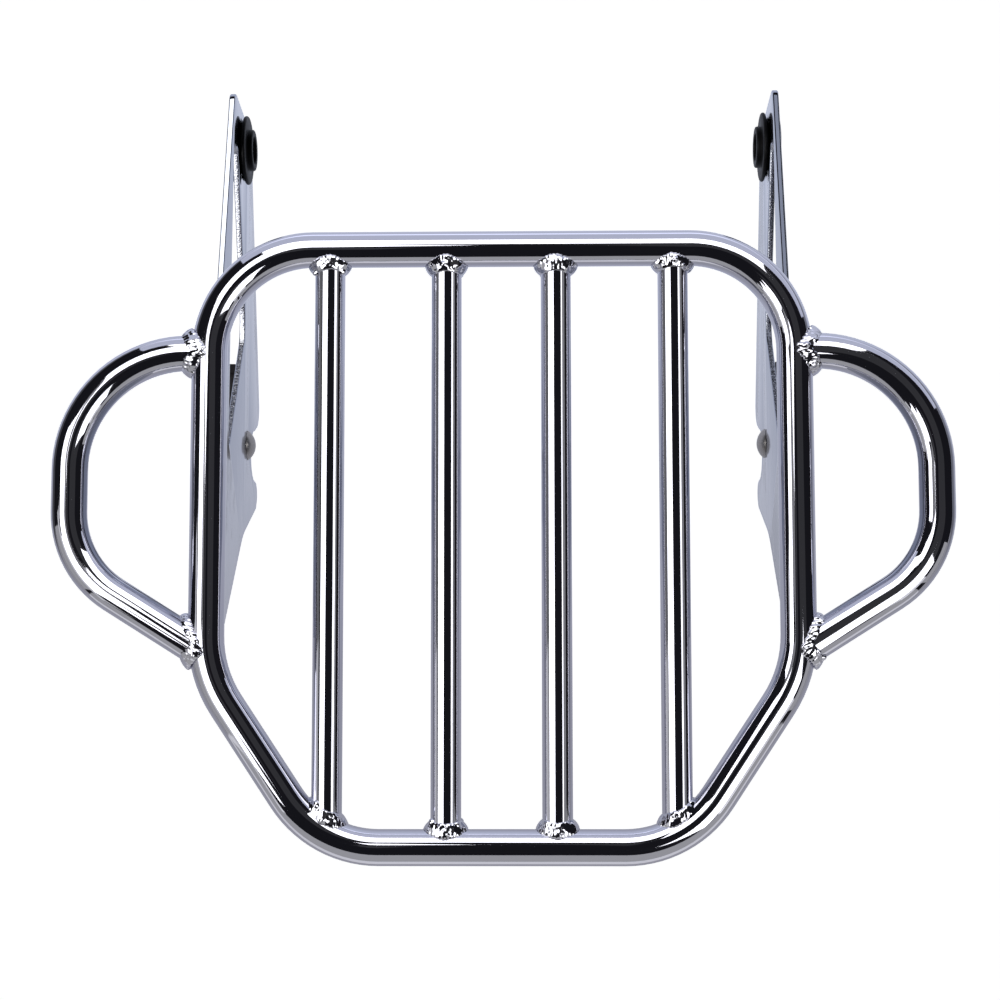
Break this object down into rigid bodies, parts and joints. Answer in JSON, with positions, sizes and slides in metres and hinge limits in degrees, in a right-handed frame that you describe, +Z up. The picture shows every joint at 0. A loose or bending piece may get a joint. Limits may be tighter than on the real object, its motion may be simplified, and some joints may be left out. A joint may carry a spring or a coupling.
{
  "type": "motorcycle luggage rack",
  "caption": "Bent chromed tube luggage deck with bars and side grab handles on two docking plates with rubber grommets and pivoted latches.",
  "frame": {"origin": "midpoint between the two front docking grommets, on their common axis", "axes": "+X across the rack to its right, +Y forward towards the plates' noses, +Z up"},
  "size_m": [0.4764, 0.4319, 0.1855],
  "materials": {
    "chrome_tube": "mirror chrome plate on bent steel tube",
    "chrome_plate": "mirror chrome plate on cut steel plate",
    "chrome_weld": "lumpy weld beads under chrome plate",
    "black_rubber": "moulded rubber, satin",
    "black_lever": "semi-gloss black coat",
    "pivot_steel": "turned stainless steel, satin",
    "washer_steel": "zinc plated, satin"
  },
  "bodies": {
    "rack": {"deck_tube": "chrome_tube", "deck_bar_1": "chrome_tube", "deck_bar_2": "chrome_tube", "deck_bar_3": "chrome_tube", "deck_bar_4": "chrome_tube", "grab_handle_left": "chrome_tube", "grab_handle_right": "chrome_tube", "side_plate_left": "chrome_plate", "side_plate_right": "chrome_plate", "front_grommet_left": "black_rubber", "front_grommet_right": "black_rubber", "latch_pivot_left": "pivot_steel", "latch_pivot_right": "pivot_steel", "latch_washer_left": "washer_steel", "latch_washer_right": "washer_steel", "latch_spring_left": "washer_steel", "latch_spring_right": "washer_steel", "bar_welds_front": "chrome_weld", "bar_welds_rear": "chrome_weld", "handle_welds_left": "chrome_weld", "handle_welds_right": "chrome_weld", "plate_welds_left": "chrome_weld", "plate_welds_right": "chrome_weld"},
    "latch_left": {"latch_lever_left": "black_lever"},
    "latch_right": {"latch_lever_right": "black_lever"}
  },
  "joints": [
    {"name": "latch_left_pivot", "type": "hinge", "parent": "rack", "child": "latch_left", "pos_m": [-0.16, -0.171, -0.03], "axis": [1, 0, 0], "range_deg": [0, 55]},
    {"name": "latch_right_pivot", "type": "hinge", "parent": "rack", "child": "latch_right", "pos_m": [0.16, -0.171, -0.03], "axis": [1, 0, 0], "range_deg": [0, 55]}
  ]
}
